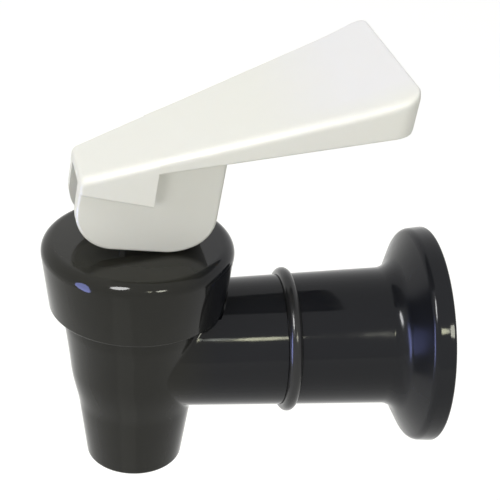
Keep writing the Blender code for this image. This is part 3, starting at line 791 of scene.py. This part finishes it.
lever_front, lever_end = -11.05, 38.67
paddle_rise = math.tan(math.radians(25.3))
skirt_end, skirt_foot, skirt_step = 0.8, 0.8, 6.75
ridge_radius, lower_radius = 1.6, 0.4
front_round, end_round, corner_round = 0.6, 0.9, 3.0


def half_width(x):
    """Half of the paddle's width, which fans out towards its end."""
    return 6.7 + 0.231 * (x - lever_front)


def paddle_top(x):
    """Height of the paddle's upper face, with the slight lip at its end."""
    lip = np.clip((x - lever_end + 9.0) / 9.0, 0.0, 1.0)
    return 3.8 + paddle_rise * (x - lever_front) + 0.8 * lip**2


def paddle_foot(x):
    """Height of the lower edge: the skirt's foot, then the paddle's underside."""
    if x <= skirt_end:
        return skirt_foot
    end_foot = float(paddle_top(lever_end)) - 7.4
    return skirt_step + (end_foot - skirt_step) * (x - skirt_end) / (lever_end - skirt_end)


def set_back(x, radius, end, way):
    """How far a rounded end draws the section in at x."""
    depth = (x - end) * way + radius
    if depth <= 0:
        return 0.0
    return radius - math.sqrt(max(radius * radius - min(depth, radius) ** 2, 0.0))


def paddle_section(x, foot):
    """Rounded section across the paddle at x, as a ring of points."""
    wide = half_width(x)
    wide -= set_back(x, corner_round, lever_end, 1) + set_back(x, front_round, lever_front, -1)
    high = float(paddle_top(x))
    high -= set_back(x, end_round, lever_end, 1) + set_back(x, front_round, lever_front, -1)
    foot = foot + set_back(x, end_round, lever_end, 1) + set_back(x, 0.3, lever_front, -1)
    upper = min(ridge_radius, (high - foot) / 2)
    lower = min(lower_radius, (high - foot) / 2)
    corners = [(wide, high, upper), (wide, foot, lower), (-wide, foot, lower), (-wide, high, upper)]
    bends = [np.array(rounded_outline(corners, 8)[9 * i : 9 * i + 9]) for i in range(4)]
    ring = []
    for index, bend in enumerate(bends):
        ahead = bends[(index + 1) % 4][0]
        ring.extend(bend)
        shares = np.linspace(0, 1, 9 if index % 2 == 0 else 25)[1:-1]
        ring.extend(bend[-1] + (ahead - bend[-1]) * share for share in shares)
    return [(x, y, z) for y, z in ring]


def arc_places(radius, end, way):
    """Stations that follow a rounded end."""
    return [end - way * radius * (1 - math.sin(a)) for a in np.linspace(0, math.pi / 2, 9)]


stations = set(np.round(np.linspace(lever_front + front_round, lever_end - corner_round, 70), 4))
stations |= {round(x, 4) for x in arc_places(front_round, lever_front, -1)}
stations |= {round(x, 4) for x in arc_places(corner_round, lever_end, 1)}
stations |= {round(x, 4) for x in arc_places(end_round, lever_end, 1)}
rings = []
for x in sorted(stations):
    if rings and rings[-1][0][0] < skirt_end < x:
        rings.append(paddle_section(skirt_end, skirt_foot))
        rings.append(paddle_section(skirt_end + 0.001, skirt_step))
    rings.append(paddle_section(x, paddle_foot(x)))
front_middle = np.mean(rings[0], axis=0)
end_middle = np.mean(rings[-1], axis=0)
rings = [[front_middle] * len(rings[0])] + rings + [[end_middle] * len(rings[-1])]
lever = mesh_piece("rocking_lever", *ring_strip(rings))
weld(lever)


def drawn_piece(name, outline, near, far, edge=0.0):
    """Side outline in XZ drawn out between two widths, with rounded rims."""
    count = len(outline)
    points = [(x, near(x), z) for x, z in outline] + [(x, far(x), z) for x, z in outline]
    faces = [tuple(range(count)), tuple(range(2 * count - 1, count - 1, -1))]
    faces += [(i, i + count, (i + 1) % count + count, (i + 1) % count) for i in range(count)]
    piece = mesh_piece(name, points, faces)
    weld(piece)
    if edge:
        rim = piece.modifiers.new("rim", "BEVEL")
        rim.width = edge * MM
        rim.segments = 5
        rim.limit_method = "ANGLE"
        rim.angle_limit = math.radians(35)
        bake(piece)
    return piece


cam_height, cam_lead, cam_turn = 8.95, 4.5, math.radians(30)
cheek_back, heel_radius = 12.6, 6.7
cheek_outline = []
for angle in np.linspace(0, math.pi / 2, 25):
    cheek_outline.append(
        (
            lever_front + heel_radius * (1 - math.cos(angle)),
            heel_radius * (1 - math.sin(angle)) - cam_height,
        )
    )
for turn in np.linspace(0, cam_turn, 25):
    height = cam_height + cam_lead * turn
    cheek_outline.append(
        (
            cam_lead * math.cos(turn) + height * math.sin(turn),
            cam_lead * math.sin(turn) - height * math.cos(turn),
        )
    )
cam_x, cam_z = cheek_outline[-1]
back_radius = (cheek_back - cam_x) / (1 - math.sin(cam_turn))
for angle in np.linspace(cam_turn, math.pi / 2, 17)[1:]:
    cheek_outline.append(
        (
            cheek_back - back_radius * (1 - math.sin(angle)),
            cam_z + back_radius * (math.cos(cam_turn) - math.cos(angle)),
        )
    )
cheek_outline += [(cheek_back, float(paddle_top(cheek_back)) - 1.8), (lever_front, 2.0)]
cheeks = drawn_piece("cheeks", cheek_outline, lambda x: -6.3, lambda x: 6.3, edge=0.6)
carve(lever, cheeks, "UNION", "EXACT")

slot_front, slot_back, slot_half = lever_front - 1.0, 8.88, 3.9
paddle_wall, rib_half = 1.8, 0.7
slot_outline = [
    (slot_front, -18),
    (slot_back, -18),
    (slot_back, float(paddle_top(slot_back)) - paddle_wall),
    (slot_front, float(paddle_top(slot_front)) - paddle_wall),
]
slot = drawn_piece("slot", slot_outline, lambda x: -slot_half, lambda x: slot_half)
carve(lever, slot, solver="EXACT")


def hollow_side(share, rib):
    """Side of a hollow, fanned as the paddle is and set back by half a rib."""
    return lambda x: share * (half_width(x) - paddle_wall) + rib


# Four hollows under the paddle leave an even wall and three fanned ribs
hollow_start, hollow_end = cheek_back + paddle_wall, lever_end - paddle_wall
hollow_outline = [(hollow_start, skirt_step - 2.0), (hollow_end, skirt_step - 2.0)]
for x in np.linspace(hollow_end, hollow_start, 12):
    hollow_outline.append((x, float(paddle_top(x)) - paddle_wall))
for index in range(4):
    low_side = hollow_side(index / 2 - 1, rib_half if index > 0 else 0.0)
    high_side = hollow_side((index + 1) / 2 - 1, -rib_half if index < 3 else 0.0)
    hollow = drawn_piece(f"hollow_{index + 1}", hollow_outline, low_side, high_side, edge=0.5)
    carve(lever, hollow, solver="EXACT")
to_lever(lever)
carve(lever, cross_rod("pin_hole", 1.35, -5.3, 12.6, edge=0.01), solver="EXACT")
polish(lever)

white_moulding, white_tree, white_shader = shader_of("warm_white_moulding")
cream = tinted(white_tree, noise(white_tree, 45, 3), (0.79, 0.79, 0.725), (0.82, 0.82, 0.765))
# Towards the paddle's end and its far side the white turns paler and lilac: painted light, for the
# cooler light that falls on the upturned lip.
painted_lilac_end = tinted(white_tree, noise(white_tree, 70, 3), (0.79, 0.785, 0.785), (0.82, 0.815, 0.82))
lilac_end_mask = worked_out(
    white_tree, "MULTIPLY", along(white_tree, "X", -34, -20), along(white_tree, "Y", -15, -8)
)
cream_with_painted_lilac = blended(white_tree, lilac_end_mask, cream, painted_lilac_end)
white_tree.links.new(cream_with_painted_lilac, white_shader.inputs["Base Color"])
white_haze = ranged(white_tree, noise(white_tree, 160, 4), 0.38, 0.50, 0.35, 0.7)
white_tree.links.new(white_haze, white_shader.inputs["Roughness"])
white_shader.inputs["IOR"].default_value = 1.49
white_shader.inputs["Subsurface Weight"].default_value = 0.12
white_shader.inputs["Subsurface Scale"].default_value = 0.0008
white_shader.inputs["Subsurface Radius"].default_value = (1.0, 0.85, 0.7)
uneven(
    white_tree,
    white_shader,
    [(noise(white_tree, 220, 1), 0.04, 0.2), (noise(white_tree, 900, 2), 0.03, 0.02)],
)
lever.data.materials.clear()
lever.data.materials.append(white_moulding)
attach(lever, "lever")
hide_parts("lever")


# Lever pin. A short stainless pin that joins lever and stem. It is pressed in from the far
# side, where its end lies just under the cheek's face, and the near cheek hides it.

pin = cross_rod("cross_pin", 1.2, -5.0, 6.0, edge=0.2)
polish(pin)
pin.data.materials.append(steel)
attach(pin, "lever")
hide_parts("lever_pin")


# Studio. A pale floor and a plain white surround that the gloss mirrors too, four large
# soft lamps, and eight small ones that only put the glints on the black plastic.


def seen_white(tree):
    """1 for rays from the camera, from a mirror-like surface or through a clear one."""
    rays = tree.nodes.new("ShaderNodeLightPath")
    mirrored = worked_out(
        tree, "MAXIMUM", rays.outputs["Is Glossy Ray"], rays.outputs["Is Transmission Ray"]
    )
    return worked_out(tree, "MAXIMUM", rays.outputs["Is Camera Ray"], mirrored)


floor_reach, floor_level = 2000, -60
floor_corners = ((-1, -1), (1, -1), (1, 1), (-1, 1))
floor_points = [(x * floor_reach, y * floor_reach, floor_level) for x, y in floor_corners]
floor = mesh_piece("studio_floor", floor_points, [(0, 1, 2, 3)])
floor_paint, floor_tree, floor_shader = shader_of("floor_paint")
floor_shader.inputs["Base Color"].default_value = (0.40, 0.40, 0.37, 1)
floor_shader.inputs["Roughness"].default_value = 0.9
glow = worked_out(floor_tree, "MULTIPLY", seen_white(floor_tree), 0.72)
floor_shader.inputs["Emission Color"].default_value = (1, 1, 1, 1)
floor_tree.links.new(glow, floor_shader.inputs["Emission Strength"])
floor.data.materials.append(floor_paint)

# The surround is seen white, but the light that it sheds is dimmer, except right overhead
world = bpy.data.worlds.new("white_surround")
bpy.context.scene.world = world
world.use_nodes = True
sky = world.node_tree
surround = sky.nodes["Background"]
surround.inputs["Color"].default_value = (0.96, 0.97, 1.0, 1)
way = sky.nodes.new("ShaderNodeTexCoord")
parts = sky.nodes.new("ShaderNodeSeparateXYZ")
sky.links.new(way.outputs["Generated"], parts.inputs[0])
sky_steps = []
for start, end, low, high in ((0.0, 0.9, 0.34, 0.44), (0.90, 0.97, 0.0, 0.48)):
    step = sky.nodes.new("ShaderNodeMapRange")
    step.interpolation_type = "SMOOTHSTEP"
    step.inputs["From Min"].default_value = start
    step.inputs["From Max"].default_value = end
    step.inputs["To Min"].default_value = low
    step.inputs["To Max"].default_value = high
    sky.links.new(parts.outputs["Z"], step.inputs["Value"])
    sky_steps.append(step.outputs["Result"])
sky.links.new(worked_out(sky, "ADD", *sky_steps), surround.inputs["Strength"])
backdrop = sky.nodes.new("ShaderNodeBackground")
backdrop.inputs["Color"].default_value = (1, 1, 1, 1)
backdrop.inputs["Strength"].default_value = 1.0
chosen = sky.nodes.new("ShaderNodeMixShader")
sky.links.new(seen_white(sky), chosen.inputs[0])
sky.links.new(surround.outputs[0], chosen.inputs[1])
sky.links.new(backdrop.outputs[0], chosen.inputs[2])
sky.links.new(chosen.outputs[0], sky.nodes["World Output"].inputs["Surface"])


def soft_lamp(name, turn, rise, distance, size, power, colour=(1, 1, 1)):
    """Lamp aimed at the spigot. Turn is from the front and rise from level, in degrees."""
    light = bpy.data.lights.new(name, "AREA")
    light.shape = "RECTANGLE"
    light.size, light.size_y = size[0] * MM, size[1] * MM
    light.energy = power
    light.color = colour
    lamp = bpy.data.objects.new(name, light)
    bpy.context.scene.collection.objects.link(lamp)
    turn, rise = math.radians(turn), math.radians(rise)
    level = math.cos(rise)
    way = Vector((math.sin(turn) * level, -math.cos(turn) * level, math.sin(rise)))
    lamp.location = Vector((-34 * MM, 0, 8 * MM)) + way * distance * MM
    lamp.rotation_euler = (-way).to_track_quat("-Z", "Y").to_euler()
    lamp.visible_camera = False
    lamp.visible_glossy = False
    return lamp


def glint(name, turn, rise, distance, size, brightness, colour=(1, 1, 1)):
    """Small oval lamp that shows only as a glint in the gloss."""
    power = brightness * math.pi * size[0] * size[1] * MM * MM
    lamp = soft_lamp(name, turn, rise, distance, size, power, colour)
    lamp.data.shape = "ELLIPSE"
    lamp.visible_glossy = True
    lamp.visible_diffuse = False
    return lamp


soft_lamp("overhead", -90, 72, 560, (320, 320), 1.22, (1.0, 0.99, 0.94))
soft_lamp("front_left", -35, 14, 600, (260, 260), 0.79, (1.0, 0.985, 0.95))
soft_lamp("front_right", 22, 14, 600, (260, 260), 0.67, (1.0, 0.985, 0.95))
soft_lamp("left", -75, 20, 600, (260, 260), 0.65, (0.99, 0.98, 1.0))
glint("glint_front", 7.2, 33, 700, (34, 70), 24, (1.0, 1.0, 0.72))
glint("glint_near_barrel", 4.4, 35, 700, (15, 60), 8, (0.95, 1.0, 0.9))
glint("glint_past_ring", 9.0, 33, 700, (6, 50), 22, (1.0, 1.0, 0.85))
glint("glint_side", -40, 49, 142, (32, 62), 26)
glint("glint_right", 21, 31, 700, (130, 150), 20, (1.0, 1.0, 0.85))
glint("glint_blue", -68, -1, 108, (28, 84), 15, (0.36, 0.42, 1.0))

# Two weak, narrow ones lie just above the floor, in front and to the left, facing up
for name, width in (("glint_from_floor", 16), ("glint_from_floor_wide", 34)):
    low = glint(name, 0, 0, 100, (width, 150), 0.16, (1.0, 1.0, 0.92))
    low.location = Vector((-92, -86, -58)) * MM
    low.rotation_euler = (math.pi, 0, math.radians(-29))


# Camera. A long lens from the left, a little above, as the photograph was taken.

camera_turn = math.radians(-10.98)
camera_rise = math.radians(29.08)
camera_roll = math.radians(3.67)
camera_distance, camera_aim = 249.5, (-33.65, 0.0, 18.56)

back = Vector(
    (
        math.sin(camera_turn) * math.cos(camera_rise),
        -math.cos(camera_turn) * math.cos(camera_rise),
        math.sin(camera_rise),
    )
)
level_right = Vector((math.cos(camera_turn), math.sin(camera_turn), 0))
level_up = back.cross(level_right)
right = math.cos(camera_roll) * level_right + math.sin(camera_roll) * level_up
up = back.cross(right)
lens = bpy.data.cameras.new("photo_camera")
lens.lens = 103.6
lens.sensor_width = 36
lens.clip_start = 0.01
camera = bpy.data.objects.new("photo_camera", lens)
bpy.context.scene.collection.objects.link(camera)
turned = Matrix((right, up, back)).transposed().to_4x4()
place = (Vector(camera_aim) + back * camera_distance) * MM
camera.matrix_world = Matrix.Translation(place) @ turned
bpy.context.scene.camera = camera
bpy.context.scene.view_settings.view_transform = "Standard"
